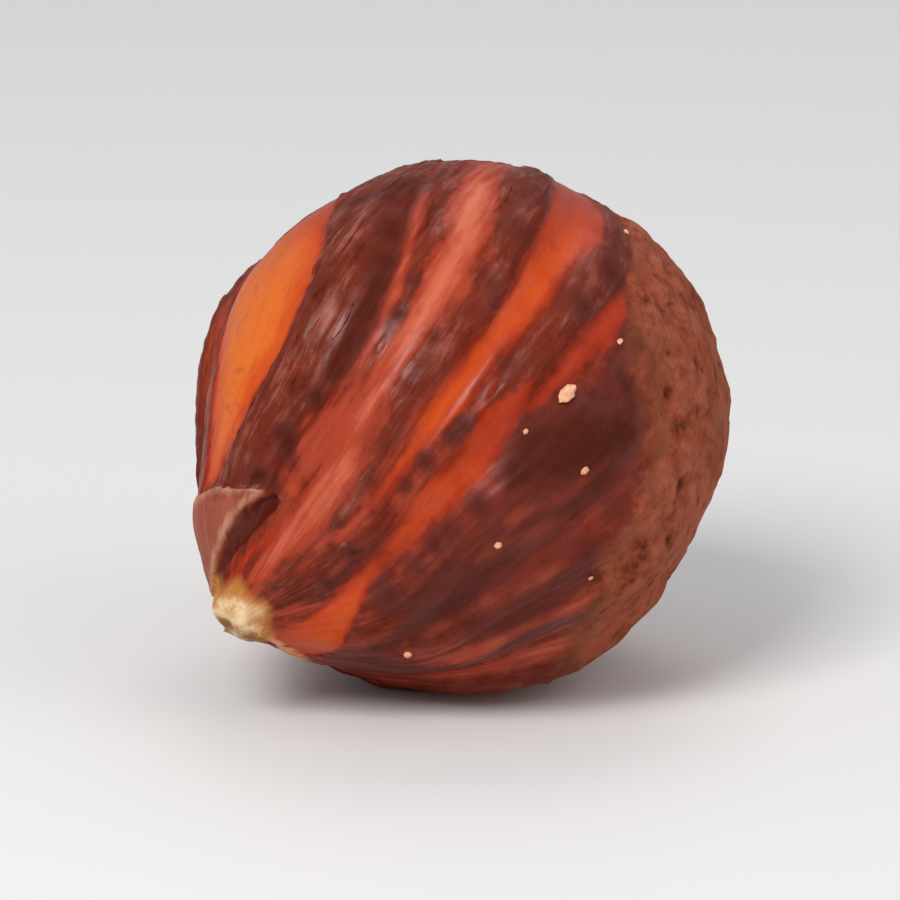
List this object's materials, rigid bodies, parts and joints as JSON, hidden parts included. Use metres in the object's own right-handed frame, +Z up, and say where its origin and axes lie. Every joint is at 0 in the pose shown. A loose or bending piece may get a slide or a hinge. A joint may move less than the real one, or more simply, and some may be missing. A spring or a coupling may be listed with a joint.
{
  "type": "hazelnut",
  "caption": "Shelled hazelnut kernel in its brown skin: a ribbed ball with a blunt pale point and a corky base, lying on its side on a small flat spot.",
  "frame": {"origin": "centre of the kernel's box on the surface it lies on", "axes": "+Z up from the surface it lies on; the pointed end leans down towards -X"},
  "size_m": [0.0156, 0.0148, 0.0142],
  "materials": {
    "skin": "satin red-brown papery skin, orange where it is thin, matte brown and corky at the base"
  },
  "bodies": {
    "root": {"kernel": "skin"}
  },
  "joints": []
}
